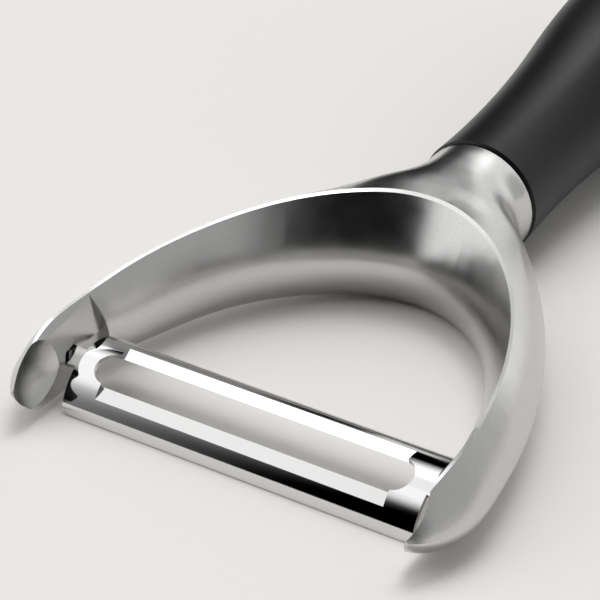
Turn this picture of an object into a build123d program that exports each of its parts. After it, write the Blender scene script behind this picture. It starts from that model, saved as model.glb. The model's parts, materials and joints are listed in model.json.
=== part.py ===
# Y-shaped vegetable peeler: a cast horseshoe head, a swivelling slotted blade and a soft-gripped handle
#
# The peeler is drawn about its blade pivot: X runs along the pivot axis, +Y runs from the pivot to
# the end of the handle and +Z is the side that the blade's crest faces. At the end every piece is
# tilted a little and lifted, so that the foot of the blade's front flange touches the floor. Behind
# it the lowest place is where the grip starts, which only the grip's small bevel keeps off the floor.
import os
from math import atan2, cos, degrees, hypot, radians, sin, sqrt, tan

from build123d import *

# Driving sizes in mm: the fork's width and length, the round neck and the blade's sheet
FORK_HALF_WIDTH = 32.5
RIM_CROWN_Y = 44.2
NECK_RADIUS = 8.59
AXIS_Z = -0.57
SHEET = 0.7

# Fork in plan: a blunt arch that runs into the round neck, over pads that face each other
ARM_THICKNESS = 5.5
PAD_HALF_GAP = FORK_HALF_WIDTH - ARM_THICKNESS
ARCH_OVERRUN = 9.8
ARCH_END_Y = RIM_CROWN_Y + ARCH_OVERRUN
ARCH_POWER = 1.7
BLEND_POWER = 3.2
NECK_LENGTH = 14.2
NECK_END_Y = RIM_CROWN_Y + NECK_LENGTH
ARM_WIDEST_Z = -0.2
CROWN_WIDEST_Z = -1.0

# Rim of the opening: an arch whose height rises gently towards the crown
RIM_INSET = 3.8
RIM_HALF_WIDTH = FORK_HALF_WIDTH - RIM_INSET
RIM_CENTRE_Y = -0.9
RIM_POWER = 1.885
RIM_PIVOT_Z = 6.05
RIM_CROWN_Z = 7.9
RIM_EDGE_BEVEL = 0.35

# Underside of the fork, which drops towards the crown
ARM_BOTTOM_Z = -4.35
CROWN_BOTTOM_Z = -8.1
BOTTOM_POWER = 1.5

# Powers of the fork's sections, where 2 gives the round neck
ROUND_POWER = 2.0
ARM_ACROSS_POWER = 4.0
CROWN_ACROSS_POWER = 3.4
ARM_UP_POWER = 1.25
ARM_UNDER_POWER = 15.0
CROWN_UNDER_POWER = 3.0
SECTION_STEPS = 6

# Rounded fork tips
TIP_START_Y = -4.0
TIP_END_Y = -11.2
TIP_NOSE_Z = 0.95
TIP_NARROWING_START_Y = -2.0
TIP_NARROWING = 4.4
TIP_ANGLES = [74.0, 52.0, 28.0]

# Inner wall of the opening: it slopes in from the rim, stands upright and rolls out below
ARM_WALL_INSET = 2.5
CROWN_WALL_INSET = 5.3
WALL_UPRIGHT_SHARE = 0.62
WALL_POWER = 1.6
WALL_ROLL_SHARE = 0.4
WALL_ROLL_POWER = 2.5
OPENING_REACH = 24.0
WALL_LEVEL_SHARES = [-1.1, -0.6, -0.25, 0.0, 0.15, 0.3, 0.45, 0.62, 0.78, 0.9, 1.0, 1.15]

# Blade: a pressed arch of sheet with a long slot, ground cutting edges and a tab at each end
BLADE_REST_TILT = 18.6
BLADE_ARCH_RADIUS = 7.57
BLADE_ARCH_HALF_ANGLE = 58.7
CREST_Z = 0.5
BLADE_END_GAP = 1.5
BLADE_HALF_LENGTH = PAD_HALF_GAP - BLADE_END_GAP
BLADE_CORNER_RADIUS = 1.3
SLOT_END_WEB = 2.5
SLOT_HALF_LENGTH = BLADE_HALF_LENGTH - SLOT_END_WEB
SLOT_HALF_WIDTH = 2.36
GRIND_SETBACK = 4.55
GRIND_HALF_LENGTH = BLADE_HALF_LENGTH - GRIND_SETBACK
GRIND_WIDTH = 1.9
GRIND_OUTER_Y = SLOT_HALF_WIDTH + GRIND_WIDTH
GRIND_RUN_OUT = 0.08
CUTTING_EDGE = 0.06
TAB_HALF_WIDTH = 1.4
TAB_REACH = 1.2
TAB_END_X = PAD_HALF_GAP + TAB_REACH
TAB_CORNER_RADIUS = 0.45

# Pads, scoops and pivot holes on the inner faces of the arms
PAD_END_Y = 6.65
PAD_END_RADIUS = 19.3
PAD_LEAN_Z = 0.3
PAD_LEAN = 12.2
SCOOP_Y = -7.7
SCOOP_Z = 3.0
SCOOP_BALL_RADIUS = 9.0
SCOOP_DEPTH = 1.95
PIVOT_CLEARANCE = 0.05
STOP_CLEARANCE = 0.06
TAB_END_CLEARANCE = 0.4
HOLE_DEPTH = TAB_REACH + TAB_END_CLEARANCE
HOLE_MOUTH_DEPTH = 0.5
SWING_EACH_WAY = 30.0

# Handle: a rigid core round the head's tang, inside a soft sleeve
GROOVE_WIDTH = 0.4
GROOVE_DEPTH = 0.69
GROOVE_RADIUS = NECK_RADIUS - GROOVE_DEPTH
LAND_LENGTH = 2.0
LAND_STEP = 1.7
CORE_RADIUS = GROOVE_RADIUS - LAND_STEP
CORE_END_BEVEL = 2.0
TANG_LENGTH = 36.0
TANG_WIDTH = 8.0
TANG_HEIGHT = 6.0
TANG_CORNER_RADIUS = 1.2
GRIP_START_STEP = 0.26
GRIP_START_RADIUS = NECK_RADIUS + GRIP_START_STEP
GRIP_START_BEVEL = 0.3
GRIP_WAIST_RADIUS = 8.62
GRIP_SWELL_RADIUS = 10.33
GRIP_BELLY_RADIUS = 12.25
GRIP_HEEL_RADIUS = 9.2
GRIP_HEEL_ROUNDING = 4.5

# Places along the grip, each a length further on than the one before
NECK_TO_WAIST = 8.6
WAIST_TO_SWELL = 25.0
SWELL_TO_BELLY = 28.0
BELLY_TO_HEEL = 26.5
HEEL_TO_END = 3.5
GRIP_WAIST_Y = NECK_END_Y + NECK_TO_WAIST
GRIP_SWELL_Y = GRIP_WAIST_Y + WAIST_TO_SWELL
GRIP_BELLY_Y = GRIP_SWELL_Y + SWELL_TO_BELLY
GRIP_HEEL_Y = GRIP_BELLY_Y + BELLY_TO_HEEL
GRIP_END_Y = GRIP_HEEL_Y + HEEL_TO_END
CORE_END_COVER = 3.5
CORE_END_Y = GRIP_HEEL_Y - CORE_END_COVER


def smooth(start, end, place):
    """Runs smoothly from 0 at start to 1 at end."""
    share = min(max((place - start) / (end - start), 0), 1)
    return share * share * (3 - 2 * share)


def mix(first, second, share):
    """Gives first at share 0 and second at share 1."""
    return first + (second - first) * share


def rim_height(y):
    """Height of the rim's gently rising line."""
    return mix(RIM_PIVOT_Z, RIM_CROWN_Z, y / RIM_CROWN_Y)


def bottom_height(y):
    """Height of the underside of the fork and the neck."""
    along = min(max(y / RIM_CROWN_Y, 0), 1)
    fork = mix(ARM_BOTTOM_Z, CROWN_BOTTOM_Z, along**BOTTOM_POWER)
    return mix(fork, AXIS_Z - NECK_RADIUS, smooth(RIM_CROWN_Y, NECK_END_Y, y))


def rim_half_width(y):
    """Half the width of the opening between its rims."""
    along = max((y - RIM_CENTRE_Y) / (RIM_CROWN_Y - RIM_CENTRE_Y), 0)
    return RIM_HALF_WIDTH * max(1 - along**RIM_POWER, 0) ** (1 / RIM_POWER)


def half_width(y):
    """Half the width of the fork and the neck in plan."""
    along = min(max(y, 0) / ARCH_END_Y, 1)
    arch = FORK_HALF_WIDTH * (1 - along**ARCH_POWER) ** (1 / ARCH_POWER)
    return (arch**BLEND_POWER + NECK_RADIUS**BLEND_POWER) ** (1 / BLEND_POWER)


def widest_height(y):
    """Height at which the fork and the neck are widest."""
    fork = mix(ARM_WIDEST_Z, CROWN_WIDEST_Z, smooth(0, RIM_CROWN_Y, y))
    return mix(fork, AXIS_Z, smooth(RIM_CROWN_Y, NECK_END_Y, y))


def fork_to_neck(arm_value, crown_value, neck_value, y):
    """Gives a section power along the fork, from the arms over the crown to the neck."""
    fork = mix(arm_value, crown_value, smooth(0, RIM_CROWN_Y, y))
    return mix(fork, neck_value, smooth(RIM_CROWN_Y, NECK_END_Y, y))


def section_points(y, rounding):
    """Points of the fork's closed section at y, which shrinks by rounding towards the tip's nose."""
    across = fork_to_neck(ARM_ACROSS_POWER, CROWN_ACROSS_POWER, ROUND_POWER, y)
    up = fork_to_neck(ARM_UP_POWER, ROUND_POWER, ROUND_POWER, y)
    under = fork_to_neck(ARM_UNDER_POWER, CROWN_UNDER_POWER, ROUND_POWER, y)
    wide = half_width(y)
    middle = widest_height(y)
    rim_reach = 1 - (rim_half_width(y) / wide) ** across
    top = (rim_height(y) - middle) / rim_reach ** (1 / up)
    top = mix(top, NECK_RADIUS, smooth(RIM_CROWN_Y, NECK_END_Y, y))
    bottom = middle - bottom_height(y)
    nose = mix(TIP_NOSE_Z, middle, rounding)
    narrowing_share = max((TIP_NARROWING_START_Y - y) / (TIP_NARROWING_START_Y - TIP_END_Y), 0)
    wide = wide - TIP_NARROWING * narrowing_share**2
    points = []
    for step in range(4 * SECTION_STEPS):
        angle = radians(90 * step / SECTION_STEPS)
        side = cos(angle)
        rise = sin(angle)
        upper = rise >= 0
        across_power = across if upper else under
        up_power = up if upper else ROUND_POWER
        reach = top if upper else bottom
        x = wide * abs(side) ** (2 / across_power)
        z = reach * abs(rise) ** (2 / up_power) * rounding
        points.append((x if side >= 0 else -x, nose + z if upper else nose - z))
    return points


def stations():
    """Places along Y, each with its share of the full section height, from the tip to the neck."""
    length = TIP_START_Y - TIP_END_Y
    tip = [(TIP_START_Y - length * sin(radians(a)), cos(radians(a))) for a in TIP_ANGLES]
    fork_steps = 6
    fork = [(mix(TIP_START_Y, RIM_CROWN_Y, step / fork_steps), 1) for step in range(fork_steps + 1)]
    neck_steps = 4
    neck = [(mix(RIM_CROWN_Y, NECK_END_Y, (step + 1) / neck_steps), 1) for step in range(neck_steps)]
    return tip + fork + neck


def wall_inset_share(level):
    """Share of the inner wall's inset at a level, which is 0 at the rim and 1 at the underside."""
    if level < WALL_UPRIGHT_SHARE:
        return 1 - (1 - level / WALL_UPRIGHT_SHARE) ** WALL_POWER
    rolled = (level - WALL_UPRIGHT_SHARE) / (1 - WALL_UPRIGHT_SHARE)
    return 1 - WALL_ROLL_SHARE * rolled**WALL_ROLL_POWER


def wall_arch_points(level):
    """Points of the opening's arch at a level, from one arm over the crown to the other."""
    inset = wall_inset_share(level)
    half = RIM_HALF_WIDTH - ARM_WALL_INSET * inset
    crown = RIM_CROWN_Y - RIM_CENTRE_Y - CROWN_WALL_INSET * inset
    arch_steps = 10
    points = [(half, 0)]
    for step in range(1, arch_steps):
        angle = radians(180 * step / arch_steps)
        side = cos(angle)
        x = half * abs(side) ** (2 / RIM_POWER)
        points.append((x if side >= 0 else -x, crown * sin(angle) ** (2 / RIM_POWER)))
    points.append((-half, 0))
    return points


def wall_plane(level):
    """Plane of a level, which turns gradually from the rim's slope to the underside's."""
    pivot_z = mix(RIM_PIVOT_Z, ARM_BOTTOM_Z, level)
    crown_z = mix(RIM_CROWN_Z, CROWN_BOTTOM_Z, level)
    slope = (crown_z - pivot_z) / RIM_CROWN_Y
    along = Vector(0, 1, slope).normalized()
    origin = (0, RIM_CENTRE_Y, pivot_z + slope * RIM_CENTRE_Y)
    return Plane(origin=origin, x_dir=(1, 0, 0), z_dir=Vector(1, 0, 0).cross(along))


def sheet_height(depth, y):
    """Height of the level blade at y, at a depth under the sheet's outer face."""
    return CREST_Z - BLADE_ARCH_RADIUS + sqrt((BLADE_ARCH_RADIUS - depth) ** 2 - y**2)


def stop_points(upper):
    """Corners of one hidden stop in a pivot hole, above or below the tab's swing."""
    face = CREST_Z + STOP_CLEARANCE if upper else tab_foot - STOP_CLEARANCE
    apex = face / cos(radians(SWING_EACH_WAY))
    reach = 2 * hole_radius
    rise = reach * tan(radians(SWING_EACH_WAY))
    back = apex + rise if upper else apex - rise
    return [(0, apex), (reach, back), (-reach, back)]


def at_x(edge, reach):
    """Tells whether an edge lies flat at a distance on either side of the middle."""
    box = edge.bounding_box()
    return abs(abs(edge.center().X) - reach) < STOP_CLEARANCE and box.size.X < STOP_CLEARANCE


# The pivot holes take the corners of the tabs with a running clearance
tab_foot = sheet_height(SHEET, TAB_HALF_WIDTH)
hole_radius = hypot(TAB_HALF_WIDTH, tab_foot) + PIVOT_CLEARANCE

handle_plane = Plane((0, 0, AXIS_Z))
handle_axis = Axis((0, 0, AXIS_Z), (0, 1, 0))
neck_end = Plane(origin=(0, NECK_END_Y, AXIS_Z), x_dir=(-1, 0, 0), z_dir=(0, 1, 0))

# Head: the solid fork and neck, drawn through sections along Y
with BuildPart() as head_frame:
    for place, rounding in stations():
        with BuildSketch(Plane(origin=(0, place, 0), x_dir=(1, 0, 0), z_dir=(0, -1, 0))):
            with BuildLine():
                Spline(*section_points(place, rounding), periodic=True)
            make_face()
    loft()
    # The opening between the arms
    with BuildPart(mode=Mode.PRIVATE) as opening:
        for level in WALL_LEVEL_SHARES:
            with BuildSketch(wall_plane(level)):
                with BuildLine():
                    arch = wall_arch_points(level)
                    Spline(*arch, tangents=[(0, 1), (0, -1)])
                    right = (arch[0][0], -OPENING_REACH)
                    left = (arch[-1][0], -OPENING_REACH)
                    Polyline(arch[-1], left, right, arch[0])
                make_face()
        loft()
    add(opening.part, mode=Mode.SUBTRACT)
    rim_edge = edges().sort_by(lambda e: (e @ 0.5).Z)[-1]
    chamfer(rim_edge, RIM_EDGE_BEVEL)
    # The pads that the blade swings between: upright below and leaning out to the rim above
    with BuildPart(mode=Mode.PRIVATE) as pads:
        lean_reach = (OPENING_REACH - PAD_LEAN_Z) * tan(radians(PAD_LEAN))
        with BuildSketch(Plane.XZ):
            with BuildLine():
                Polyline(
                    (PAD_HALF_GAP, -OPENING_REACH),
                    (PAD_HALF_GAP, PAD_LEAN_Z),
                    (PAD_HALF_GAP + lean_reach, OPENING_REACH),
                    (-PAD_HALF_GAP - lean_reach, OPENING_REACH),
                    (-PAD_HALF_GAP, PAD_LEAN_Z),
                    (-PAD_HALF_GAP, -OPENING_REACH),
                    close=True,
                )
            make_face()
        extrude(amount=OPENING_REACH, both=True)
        with BuildSketch(Plane.YZ):
            with Locations((PAD_END_Y - PAD_END_RADIUS, PAD_LEAN_Z)):
                Circle(PAD_END_RADIUS)
        extrude(amount=PAD_HALF_GAP + lean_reach, both=True, mode=Mode.INTERSECT)
    add(pads.part, mode=Mode.SUBTRACT)
    for side in (1, -1):
        # The scoop at the tip, for taking out potato eyes
        scoop_x = PAD_HALF_GAP + SCOOP_DEPTH - SCOOP_BALL_RADIUS
        with Locations((side * scoop_x, SCOOP_Y, SCOOP_Z)):
            Sphere(SCOOP_BALL_RADIUS, mode=Mode.SUBTRACT)
        # The blind pivot hole, round at its mouth and with two stops deeper in
        with BuildSketch(Plane.YZ.offset(side * PAD_HALF_GAP)):
            Circle(hole_radius)
        extrude(amount=side * HOLE_MOUTH_DEPTH, mode=Mode.SUBTRACT)
        with BuildSketch(Plane.YZ.offset(side * (PAD_HALF_GAP + HOLE_MOUTH_DEPTH))):
            Circle(hole_radius)
            for upper in (True, False):
                with BuildLine():
                    Polyline(*stop_points(upper), close=True)
                make_face(mode=Mode.SUBTRACT)
        extrude(amount=side * (HOLE_DEPTH - HOLE_MOUTH_DEPTH), mode=Mode.SUBTRACT)
    # The tang inside the handle
    with BuildSketch(neck_end):
        RectangleRounded(TANG_WIDTH, TANG_HEIGHT, TANG_CORNER_RADIUS)
    extrude(amount=TANG_LENGTH)

# Blade: an arch of sheet in its own level position, with tabs, slot and ground edges
with BuildPart() as blade:
    arch_centre = (0, CREST_Z - BLADE_ARCH_RADIUS)
    first_angle = 90 - BLADE_ARCH_HALF_ANGLE
    with BuildSketch(Plane.YZ):
        with BuildLine():
            outside = CenterArc(arch_centre, BLADE_ARCH_RADIUS, first_angle, 2 * BLADE_ARCH_HALF_ANGLE)
            inside = CenterArc(arch_centre, BLADE_ARCH_RADIUS - SHEET, first_angle, 2 * BLADE_ARCH_HALF_ANGLE)
            Line(outside @ 0, inside @ 0)
            Line(outside @ 1, inside @ 1)
        make_face()
    extrude(amount=TAB_END_X, both=True)
    # The ends beside the tabs are cut off square and their corners rounded
    flange_end = BLADE_ARCH_RADIUS * sin(radians(BLADE_ARCH_HALF_ANGLE))
    beside_tab = BLADE_ARCH_RADIUS - TAB_HALF_WIDTH
    for side in (1, -1):
        with BuildSketch(Plane.YZ.offset(side * BLADE_HALF_LENGTH)):
            with Locations((TAB_HALF_WIDTH + beside_tab / 2, 0), (-TAB_HALF_WIDTH - beside_tab / 2, 0)):
                Rectangle(beside_tab, 4 * BLADE_ARCH_RADIUS)
        extrude(amount=side * (TAB_END_X - BLADE_HALF_LENGTH), mode=Mode.SUBTRACT)
    end_edges = [e for e in edges() if at_x(e, BLADE_HALF_LENGTH)]
    corners = [e for e in end_edges if abs(e.center().Y) > flange_end - SHEET]
    fillet([e for e in corners if e.length < SHEET + STOP_CLEARANCE], BLADE_CORNER_RADIUS)
    tab_corners = [e for e in edges() if at_x(e, TAB_END_X) and abs(e.center().Y) > TAB_HALF_WIDTH / 2]
    fillet(tab_corners, TAB_CORNER_RADIUS)
    # The slot
    with BuildSketch():
        SlotOverall(2 * SLOT_HALF_LENGTH, 2 * SLOT_HALF_WIDTH)
    extrude(amount=BLADE_ARCH_RADIUS, both=True, mode=Mode.SUBTRACT)
    # Both long sides of the slot are ground flat down to the cutting edges
    edge_y = SLOT_HALF_WIDTH - GRIND_RUN_OUT
    edge_z = sheet_height(SHEET, edge_y) + CUTTING_EDGE
    outer_z = sheet_height(0, GRIND_OUTER_Y)
    above = BLADE_ARCH_RADIUS
    with BuildSketch(Plane.YZ):
        with BuildLine():
            Polyline(
                (GRIND_OUTER_Y, above),
                (GRIND_OUTER_Y, outer_z),
                (edge_y, edge_z),
                (-edge_y, edge_z),
                (-GRIND_OUTER_Y, outer_z),
                (-GRIND_OUTER_Y, above),
                close=True,
            )
        make_face()
    extrude(amount=GRIND_HALF_LENGTH, both=True, mode=Mode.SUBTRACT)

# Body of the handle core: a rigid rod with a collar land behind the neck
with BuildPart() as core_body:
    with BuildSketch(handle_plane):
        with BuildLine():
            land_end = NECK_END_Y + LAND_LENGTH
            Polyline(
                (0, NECK_END_Y),
                (GROOVE_RADIUS, NECK_END_Y),
                (GROOVE_RADIUS, land_end),
                (CORE_RADIUS, land_end),
                (CORE_RADIUS, CORE_END_Y),
                (0, CORE_END_Y),
                close=True,
            )
        make_face()
    revolve(axis=handle_axis)
    chamfer(edges().group_by(Axis.Y)[-1], CORE_END_BEVEL)

# Handle core: that body with a socket for the tang
with BuildPart() as handle_core:
    add(core_body.part)
    with BuildSketch(neck_end):
        RectangleRounded(TANG_WIDTH, TANG_HEIGHT, TANG_CORNER_RADIUS)
    extrude(amount=TANG_LENGTH, mode=Mode.SUBTRACT)

# Grip: a soft sleeve turned about the handle's axis, fuller towards the heel
with BuildPart() as grip_sleeve:
    grip_start_y = NECK_END_Y + GROOVE_WIDTH
    dome = (GRIP_HEEL_RADIUS**2 + (GRIP_END_Y - GRIP_HEEL_Y) ** 2) / (2 * (GRIP_END_Y - GRIP_HEEL_Y))
    end_middle = (GRIP_HEEL_RADIUS / 2, GRIP_END_Y - dome + sqrt(dome**2 - (GRIP_HEEL_RADIUS / 2) ** 2))
    with BuildSketch(handle_plane):
        with BuildLine():
            waist = ThreePointArc(
                (GRIP_START_RADIUS, grip_start_y),
                (GRIP_WAIST_RADIUS, GRIP_WAIST_Y),
                (GRIP_SWELL_RADIUS, GRIP_SWELL_Y),
            )
            swell = TangentArc(waist @ 1, (GRIP_BELLY_RADIUS, GRIP_BELLY_Y), tangent=waist % 1)
            heel = TangentArc(swell @ 1, (GRIP_HEEL_RADIUS, GRIP_HEEL_Y), tangent=swell % 1)
            end = ThreePointArc(heel @ 1, end_middle, (0, GRIP_END_Y))
            Polyline(end @ 1, (0, grip_start_y), waist @ 0)
        make_face()
    revolve(axis=handle_axis)
    chamfer(edges().group_by(Axis.Y)[0], GRIP_START_BEVEL)
    heel_edges = [e for e in edges() if abs((e @ 0).Y - GRIP_HEEL_Y) < GROOVE_WIDTH and (e @ 0) == (e @ 1)]
    fillet(heel_edges, GRIP_HEEL_ROUNDING)
    add(core_body.part, mode=Mode.SUBTRACT)

# Every piece goes from the drawing position to its place on the floor
swung = blade.part.rotate(Axis.X, BLADE_REST_TILT)
flange_foot = swung.vertices().sort_by(Axis.Z)[0]
grip_outline = [curve @ (step / 100) for curve in (waist, swell) for step in range(101)]
underside = [(p.Y, AXIS_Z - p.X) for p in grip_outline]
underside += [(y, bottom_height(y)) for y, rounding in stations() if rounding == 1]
lay_angle = max(degrees(atan2(flange_foot.Z - z, y - flange_foot.Y)) for y, z in underside)
laid = {
    "head_frame": head_frame.part.rotate(Axis.X, lay_angle),
    "blade": swung.rotate(Axis.X, lay_angle),
    "handle_core": handle_core.part.rotate(Axis.X, lay_angle),
    "grip_sleeve": grip_sleeve.part.rotate(Axis.X, lay_angle),
}
whole = Compound(list(laid.values())).bounding_box()
to_floor = (0, -(whole.min.Y + whole.max.Y) / 2, -whole.min.Z)
os.makedirs("parts", exist_ok=True)
for name, part in laid.items():
    part = part.translate(to_floor)
    part.label = name
    export_step(part, f"parts/{name}.step")
    print(name, part.is_valid, round(part.volume), part.bounding_box())
print("laid at", lay_angle, "moved by", to_floor)
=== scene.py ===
import json
from math import atan2, cos, degrees, radians, sin

import bpy
from mathutils import Matrix, Vector


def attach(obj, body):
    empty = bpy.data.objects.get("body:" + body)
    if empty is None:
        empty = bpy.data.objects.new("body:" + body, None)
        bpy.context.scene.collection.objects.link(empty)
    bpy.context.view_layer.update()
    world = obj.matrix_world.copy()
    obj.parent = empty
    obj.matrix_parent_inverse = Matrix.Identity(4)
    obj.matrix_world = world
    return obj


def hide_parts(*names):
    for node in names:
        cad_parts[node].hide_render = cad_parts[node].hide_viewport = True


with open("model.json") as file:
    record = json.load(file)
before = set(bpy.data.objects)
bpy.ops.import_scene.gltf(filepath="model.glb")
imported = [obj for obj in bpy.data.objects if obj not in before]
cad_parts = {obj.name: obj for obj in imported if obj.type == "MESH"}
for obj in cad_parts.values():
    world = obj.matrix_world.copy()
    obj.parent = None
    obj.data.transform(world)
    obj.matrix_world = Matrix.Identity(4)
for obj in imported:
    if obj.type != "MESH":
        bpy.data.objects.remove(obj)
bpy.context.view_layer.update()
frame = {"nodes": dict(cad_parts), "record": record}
nodes = frame["nodes"]
scene = bpy.context.scene
scene.view_settings.view_transform = "Standard"

MM = 0.001

# Camera, which stands in front of the peeler, to its right and above it
CAMERA_PLACE = (0.132466, -0.274077, 0.175062)
CAMERA_TURN = (58.0436, -0.442, 31.7898)
CAMERA_LENS = 145.166
CAMERA_SENSOR = 36.0
CAMERA_NEAR = 0.01

# Paper under the peeler, and the tone of everything far behind it
PAPER_SIZE = 6.0
PAPER_COLOUR = (0.94, 0.92, 0.895)

# Blade: its tilt in the head and with the whole peeler laid down
BLADE_REST_TILT = 18.6
LAID_TILT = 3.826

# Flats ground beside the blade's slot: distances from the blade's middle line, greatest lean
GROUND_NEAR = 2.2 * MM
GROUND_FAR = 4.3 * MM
GROUND_LEAN = 14.0

# Part of a noise's range that its colours and roughness spread over
NOISE_LOW_SHARE = 0.3
NOISE_HIGH_SHARE = 0.7

# Studio round the peeler, in degrees. Azimuths run from the handle's side over the right.
ZENITH_LOW = 72.0
ZENITH_SOFTNESS = 8.0
ZENITH_BRIGHTNESS = 1.0
RING = dict(
    azimuth=290.0,
    half_width=82.0,
    side_softness=14.0,
    low=42.0,
    high=72.0,
    edge_softness=9.0,
    brightness=1.35,
)
LEFT_WALL = dict(
    azimuth=254.0,
    half_width=37.0,
    side_softness=12.0,
    low=-6.0,
    high=42.0,
    edge_softness=9.0,
    brightness=1.15,
)
BACK_WALL = dict(
    azimuth=6.0,
    half_width=22.0,
    side_softness=8.0,
    low=-6.0,
    high=48.0,
    edge_softness=8.0,
    brightness=0.95,
)
RIGHT_WALL = dict(
    azimuth=68.0,
    half_width=44.0,
    side_softness=15.0,
    low=-6.0,
    high=60.0,
    edge_softness=10.0,
    brightness=0.5,
)
SKYLIGHT = dict(
    azimuth=340.0,
    half_width=34.0,
    side_softness=10.0,
    low=54.0,
    high=82.0,
    edge_softness=6.0,
    brightness=3.6,
)


def new_material(name):
    """Makes a node material and returns it with its nodes, links and shader."""
    material = bpy.data.materials.new(name)
    material.use_nodes = True
    tree = material.node_tree
    return material, tree.nodes, tree.links, tree.nodes["Principled BSDF"]


def noise(tree_nodes, links, scale, detail, stretch=(1, 1, 1)):
    """Adds a noise in the piece's own coordinates, which can be stretched, and returns its value."""
    place = tree_nodes.new("ShaderNodeTexCoord")
    mapping = tree_nodes.new("ShaderNodeMapping")
    mapping.inputs["Scale"].default_value = stretch
    texture = tree_nodes.new("ShaderNodeTexNoise")
    texture.inputs["Scale"].default_value = scale
    texture.inputs["Detail"].default_value = detail
    links.new(place.outputs["Object"], mapping.inputs["Vector"])
    links.new(mapping.outputs["Vector"], texture.inputs["Vector"])
    return texture.outputs["Fac"]


def spread(tree_nodes, links, value, low, high):
    """Spreads a noise value between low and high."""
    node = tree_nodes.new("ShaderNodeMapRange")
    node.inputs["From Min"].default_value = NOISE_LOW_SHARE
    node.inputs["From Max"].default_value = NOISE_HIGH_SHARE
    node.inputs["To Min"].default_value = low
    node.inputs["To Max"].default_value = high
    links.new(value, node.inputs["Value"])
    return node.outputs["Result"]


def tint(tree_nodes, links, value, dark, light):
    """Turns a noise value into a colour between dark and light."""
    node = tree_nodes.new("ShaderNodeMix")
    node.data_type = "RGBA"
    node.inputs["A"].default_value = (*dark, 1)
    node.inputs["B"].default_value = (*light, 1)
    links.new(value, node.inputs["Factor"])
    return node.outputs["Result"]


def bump(tree_nodes, links, value, depth, strength):
    """Bumps the surface by a noise value."""
    node = tree_nodes.new("ShaderNodeBump")
    node.inputs["Distance"].default_value = depth
    node.inputs["Strength"].default_value = strength
    links.new(value, node.inputs["Height"])
    return node.outputs["Normal"]


def satin_metal():
    """Cast metal, blasted to a fine satin grain with faint cloudiness."""
    material, tree_nodes, links, shader = new_material("satin_cast_metal")
    shader.inputs["Metallic"].default_value = 1.0
    grain = noise(tree_nodes, links, scale=7000.0, detail=2.0)
    cloud = noise(tree_nodes, links, scale=260.0, detail=3.0)
    speck = spread(tree_nodes, links, grain, low=0.0, high=1.0)
    colour = tint(tree_nodes, links, speck, dark=(0.57, 0.565, 0.557), light=(0.65, 0.645, 0.636))
    links.new(colour, shader.inputs["Base Color"])
    rough = spread(tree_nodes, links, cloud, low=0.22, high=0.27)
    links.new(rough, shader.inputs["Roughness"])
    relief = bump(tree_nodes, links, grain, depth=0.01 * MM, strength=0.35)
    links.new(relief, shader.inputs["Normal"])
    return material


def polished_steel():
    """Mirror-polished sheet with hair-fine lines along it."""
    material, tree_nodes, links, shader = new_material("polished_steel")
    shader.inputs["Metallic"].default_value = 1.0
    lines = noise(tree_nodes, links, scale=4000.0, detail=3.0, stretch=(0.02, 1, 1))
    haze = noise(tree_nodes, links, scale=150.0, detail=2.0)
    colour = tint(tree_nodes, links, lines, dark=(0.66, 0.66, 0.655), light=(0.70, 0.70, 0.695))
    links.new(colour, shader.inputs["Base Color"])
    rough = spread(tree_nodes, links, haze, low=0.03, high=0.06)
    links.new(rough, shader.inputs["Roughness"])
    relief = bump(tree_nodes, links, lines, depth=0.001 * MM, strength=0.2)
    links.new(relief, shader.inputs["Normal"])
    return material


def ground_steel():
    """Ground cutting bevels, less bright than the polish, with marks across the edge."""
    material, tree_nodes, links, shader = new_material("ground_steel")
    shader.inputs["Metallic"].default_value = 1.0
    marks = noise(tree_nodes, links, scale=6000.0, detail=2.0, stretch=(1, 0.03, 0.03))
    colour = tint(tree_nodes, links, marks, dark=(0.58, 0.58, 0.575), light=(0.66, 0.66, 0.655))
    links.new(colour, shader.inputs["Base Color"])
    rough = spread(tree_nodes, links, marks, low=0.12, high=0.2)
    links.new(rough, shader.inputs["Roughness"])
    relief = bump(tree_nodes, links, marks, depth=0.002 * MM, strength=0.3)
    links.new(relief, shader.inputs["Normal"])
    return material


def soft_grip():
    """Matt black soft plastic with a fine moulded texture and faint uneven sheen."""
    material, tree_nodes, links, shader = new_material("soft_grip")
    texture = noise(tree_nodes, links, scale=3500.0, detail=2.0)
    sheen = noise(tree_nodes, links, scale=60.0, detail=2.0)
    colour = tint(tree_nodes, links, texture, dark=(0.007, 0.0074, 0.0082), light=(0.011, 0.0114, 0.0122))
    links.new(colour, shader.inputs["Base Color"])
    shader.inputs["Specular IOR Level"].default_value = 0.26
    rough = spread(tree_nodes, links, sheen, low=0.33, high=0.40)
    links.new(rough, shader.inputs["Roughness"])
    relief = bump(tree_nodes, links, texture, depth=0.02 * MM, strength=0.12)
    links.new(relief, shader.inputs["Normal"])
    return material


def core_plastic():
    """Black moulded plastic, seen only in the groove behind the neck."""
    material, tree_nodes, links, shader = new_material("core_plastic")
    texture = noise(tree_nodes, links, scale=2000.0, detail=2.0)
    colour = tint(tree_nodes, links, texture, dark=(0.004, 0.004, 0.004), light=(0.008, 0.008, 0.008))
    links.new(colour, shader.inputs["Base Color"])
    rough = spread(tree_nodes, links, texture, low=0.5, high=0.6)
    links.new(rough, shader.inputs["Roughness"])
    relief = bump(tree_nodes, links, texture, depth=0.01 * MM, strength=0.1)
    links.new(relief, shader.inputs["Normal"])
    return material


def is_ground(face):
    """Tells whether a face of the blade belongs to the flats ground beside the slot."""
    level_turn = Matrix.Rotation(-radians(BLADE_REST_TILT + LAID_TILT), 3, "X")
    centre = level_turn @ (face.center - pivot_place)
    normal = level_turn @ face.normal
    lean = degrees(atan2(abs(normal.y), normal.z))
    return GROUND_NEAR < abs(centre.y) < GROUND_FAR and lean < GROUND_LEAN


pivot_place = Vector(frame["record"]["behaviour"]["joints"][0]["pos_m"])

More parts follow.
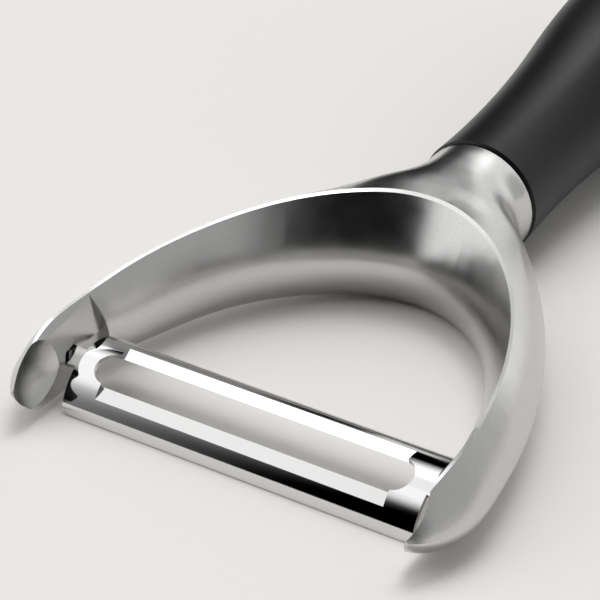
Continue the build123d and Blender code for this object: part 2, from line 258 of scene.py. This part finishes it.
# The head, the core and the grip keep their solids' surfaces
nodes["head_frame"].material_slots[0].material = satin_metal()
nodes["handle_core"].material_slots[0].material = core_plastic()
nodes["grip_sleeve"].material_slots[0].material = soft_grip()

# The blade has its solid's surface too, with the ground flats in a finish of their own
sheet_mesh = nodes["blade"].data.copy()
sheet_mesh.materials.clear()
sheet_mesh.materials.append(polished_steel())
sheet_mesh.materials.append(ground_steel())
for face in sheet_mesh.polygons:
    face.material_index = int(is_ground(face))
sheet = bpy.data.objects.new("blade_sheet", sheet_mesh)
scene.collection.objects.link(sheet)
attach(sheet, "blade")
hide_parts("blade")

# Floor
bpy.ops.mesh.primitive_plane_add(size=PAPER_SIZE, location=(0, 0, 0))
floor = bpy.context.object
floor.name = "floor"
paper, _, _, paper_shader = new_material("floor_paper")
paper_shader.inputs["Base Color"].default_value = (*PAPER_COLOUR, 1)
paper_shader.inputs["Specular IOR Level"].default_value = 0.0
paper_shader.inputs["Roughness"].default_value = 1.0
floor.data.materials.append(paper)

# Camera
camera_data = bpy.data.cameras.new("camera")
camera_data.lens = CAMERA_LENS
camera_data.sensor_width = CAMERA_SENSOR
camera_data.clip_start = CAMERA_NEAR
camera = bpy.data.objects.new("camera", camera_data)
camera.location = CAMERA_PLACE
camera.rotation_euler = [radians(turn) for turn in CAMERA_TURN]
scene.collection.objects.link(camera)
scene.camera = camera

# World: a dark studio with soft bright panels, seen only in reflections and as light
world = bpy.data.worlds.new("studio")
scene.world = world
world.use_nodes = True
world_nodes = world.node_tree.nodes
world_links = world.node_tree.links


def combine(operation, first, second):
    """Adds a math node on sockets or plain values and returns its result."""
    node = world_nodes.new("ShaderNodeMath")
    node.operation = operation
    for socket, value in zip(node.inputs, (first, second)):
        if isinstance(value, (int, float)):
            socket.default_value = value
        else:
            world_links.new(value, socket)
    return node.outputs["Value"]


def toward(vector, direction):
    """Adds the dot product of a vector socket with a fixed direction."""
    node = world_nodes.new("ShaderNodeVectorMath")
    node.operation = "DOT_PRODUCT"
    node.inputs[1].default_value = direction
    world_links.new(vector, node.inputs[0])
    return node.outputs["Value"]


def rise(value, low, high):
    """Adds a smooth step from 0 at low to 1 at high."""
    node = world_nodes.new("ShaderNodeMapRange")
    node.interpolation_type = "SMOOTHSTEP"
    node.inputs["From Min"].default_value = low
    node.inputs["From Max"].default_value = high
    world_links.new(value, node.inputs["Value"])
    return node.outputs["Result"]


def above(elevation, softness):
    """Adds a soft edge that is 1 above an elevation."""
    return rise(height, sin(radians(elevation - softness)), sin(radians(elevation + softness)))


def around(azimuth, half_width, softness):
    """Adds a soft sector round an azimuth."""
    direction = (sin(radians(azimuth)), cos(radians(azimuth)), 0)
    facing = toward(level.outputs["Vector"], direction)
    return rise(facing, cos(radians(half_width + softness)), cos(radians(half_width - softness)))


def bright_panel(azimuth, half_width, side_softness, low, high, edge_softness, brightness):
    """Adds a bright panel between two elevations round an azimuth."""
    sector = around(azimuth, half_width, side_softness)
    band = combine("SUBTRACT", above(low, edge_softness), above(high, edge_softness))
    return combine("MULTIPLY", combine("MULTIPLY", sector, band), brightness)


direction = world_nodes.new("ShaderNodeTexCoord").outputs["Generated"]
height = toward(direction, (0, 0, 1))
flatten = world_nodes.new("ShaderNodeVectorMath")
flatten.operation = "MULTIPLY"
flatten.inputs[1].default_value = (1, 1, 0)
world_links.new(direction, flatten.inputs[0])
level = world_nodes.new("ShaderNodeVectorMath")
level.operation = "NORMALIZE"
world_links.new(flatten.outputs["Vector"], level.inputs[0])

glow = combine("MULTIPLY", above(ZENITH_LOW, ZENITH_SOFTNESS), ZENITH_BRIGHTNESS)
for panel in (RING, LEFT_WALL, BACK_WALL, RIGHT_WALL, SKYLIGHT):
    glow = combine("ADD", glow, bright_panel(**panel))

studio = world_nodes["Background"]
world_links.new(glow, studio.inputs["Color"])
paper_far = world_nodes.new("ShaderNodeBackground")
paper_far.inputs["Color"].default_value = (*PAPER_COLOUR, 1)
seen = world_nodes.new("ShaderNodeLightPath").outputs["Is Camera Ray"]
mixed = world_nodes.new("ShaderNodeMixShader")
world_links.new(seen, mixed.inputs["Fac"])
world_links.new(studio.outputs["Background"], mixed.inputs[1])
world_links.new(paper_far.outputs["Background"], mixed.inputs[2])
world_links.new(mixed.outputs["Shader"], world_nodes["World Output"].inputs["Surface"])
